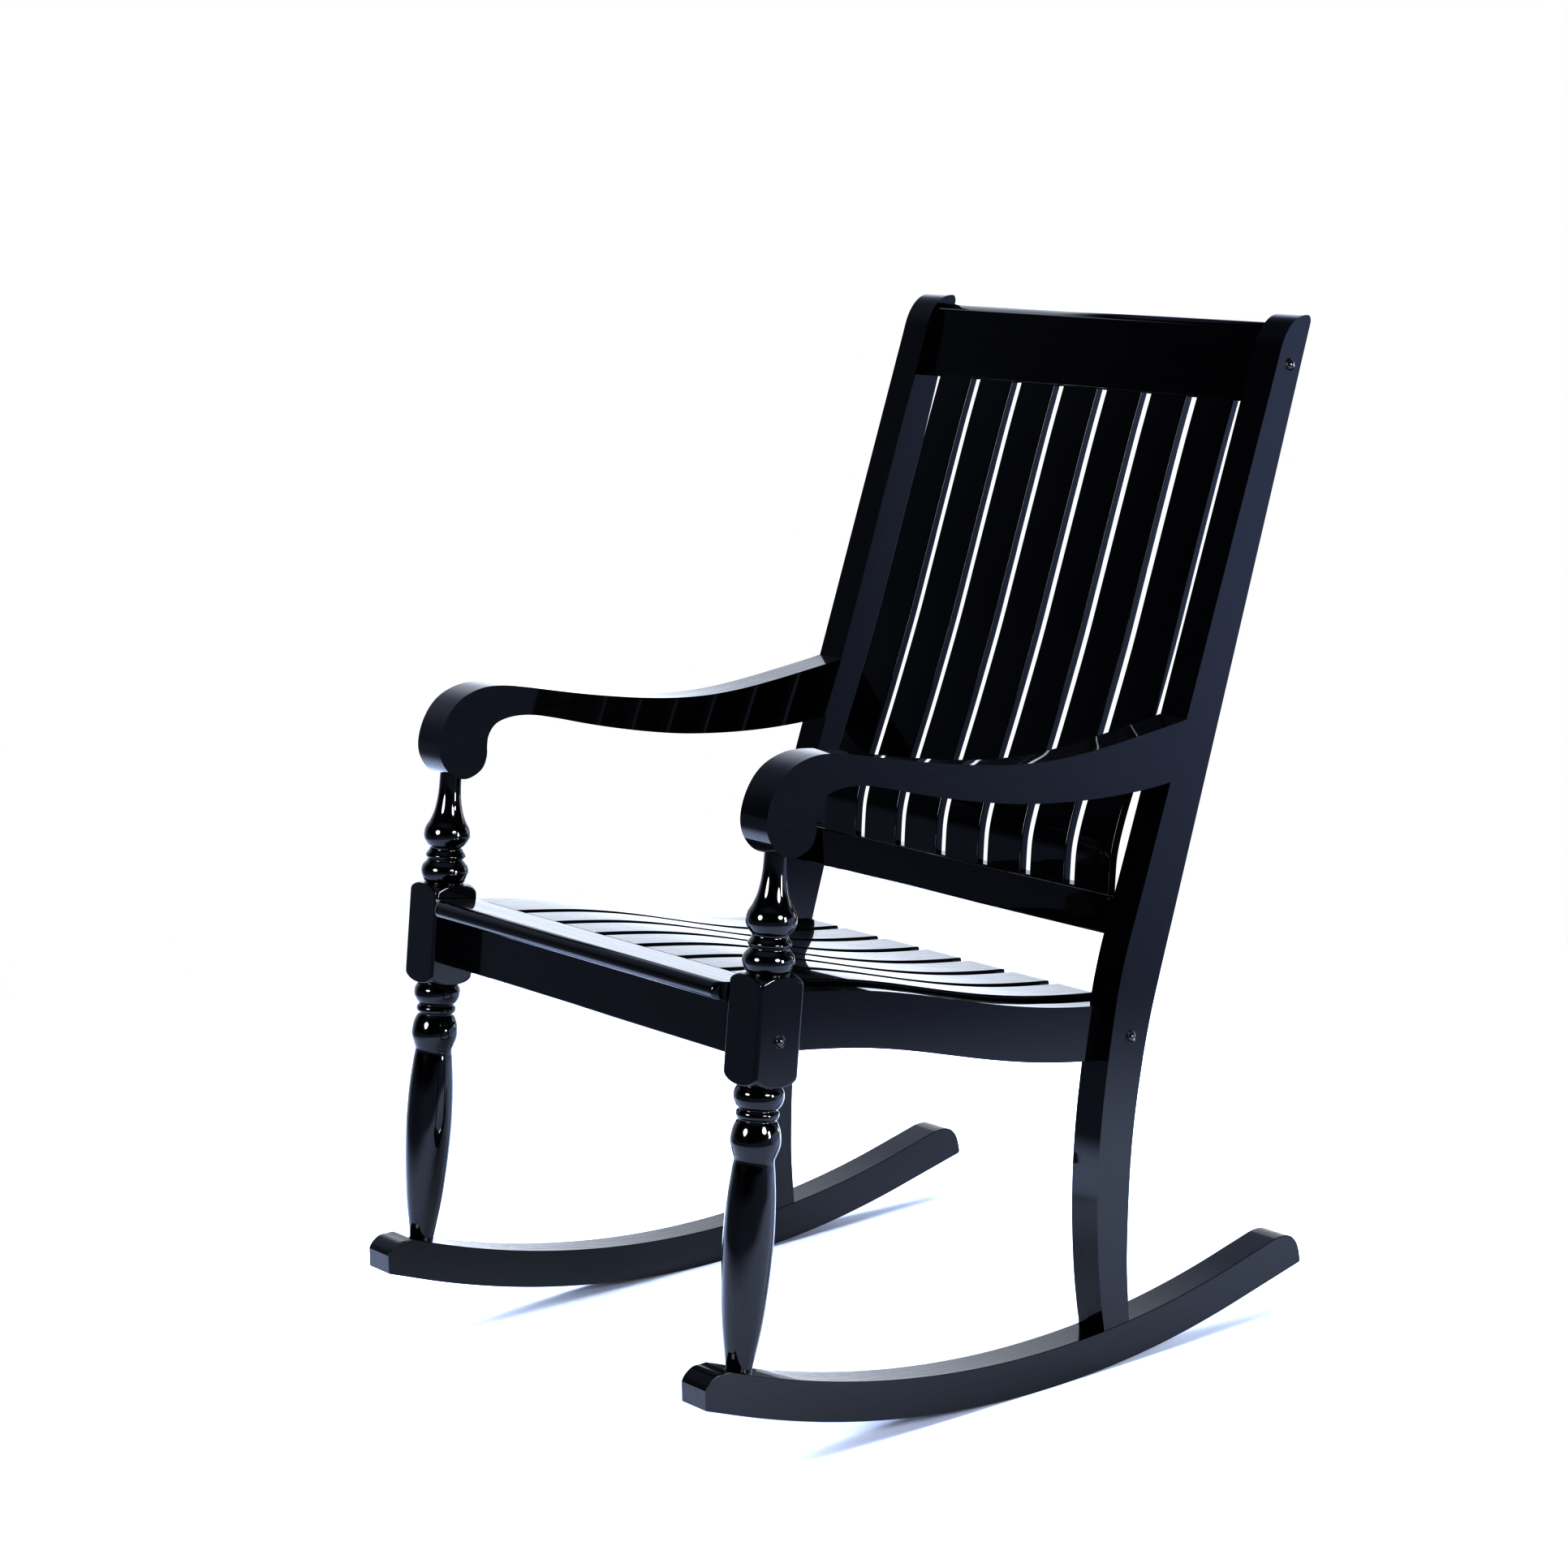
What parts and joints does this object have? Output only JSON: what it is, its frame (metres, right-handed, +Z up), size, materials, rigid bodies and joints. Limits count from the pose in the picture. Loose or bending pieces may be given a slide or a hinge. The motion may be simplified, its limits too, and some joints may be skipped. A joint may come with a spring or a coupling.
{
  "type": "rocking chair",
  "caption": "High-backed slatted wooden rocking chair with turned front legs, scrolled arms and a dished slat seat on two curved runners.",
  "frame": {"origin": "on the floor, in the middle of the footprint, which is the bottom centre of the bounding box", "axes": "+Z up, the sitter faces -Y, +X is the sitter's left; the chair stands at rest on its runners, balanced on the level facet under each"},
  "size_m": [0.6114, 0.805, 1.0408],
  "materials": {
    "black_lacquer": "high-gloss black lacquer over smooth hardwood",
    "black_metal": "gloss black domed bolt head"
  },
  "bodies": {
    "root": {"rocker_left": "black_lacquer", "front_leg_left": "black_lacquer", "rear_post_left": "black_lacquer", "arm_left": "black_lacquer", "side_rail_left": "black_lacquer", "rocker_right": "black_lacquer", "front_leg_right": "black_lacquer", "rear_post_right": "black_lacquer", "arm_right": "black_lacquer", "side_rail_right": "black_lacquer", "front_apron": "black_lacquer", "seat_front_board": "black_lacquer", "rear_seat_rail": "black_lacquer", "crest_rail": "black_lacquer", "lower_back_rail": "black_lacquer", "seat_slat_1": "black_lacquer", "seat_slat_2": "black_lacquer", "seat_slat_3": "black_lacquer", "seat_slat_4": "black_lacquer", "seat_slat_5": "black_lacquer", "seat_slat_6": "black_lacquer", "seat_slat_7": "black_lacquer", "back_slat_1": "black_lacquer", "back_slat_2": "black_lacquer", "back_slat_3": "black_lacquer", "back_slat_4": "black_lacquer", "back_slat_5": "black_lacquer", "back_slat_6": "black_lacquer", "back_slat_7": "black_lacquer", "bolt_seat_front_left": "black_metal", "bolt_seat_rear_left": "black_metal", "bolt_crest_left": "black_metal", "bolt_seat_front_right": "black_metal", "bolt_seat_rear_right": "black_metal", "bolt_crest_right": "black_metal"}
  },
  "joints": []
}
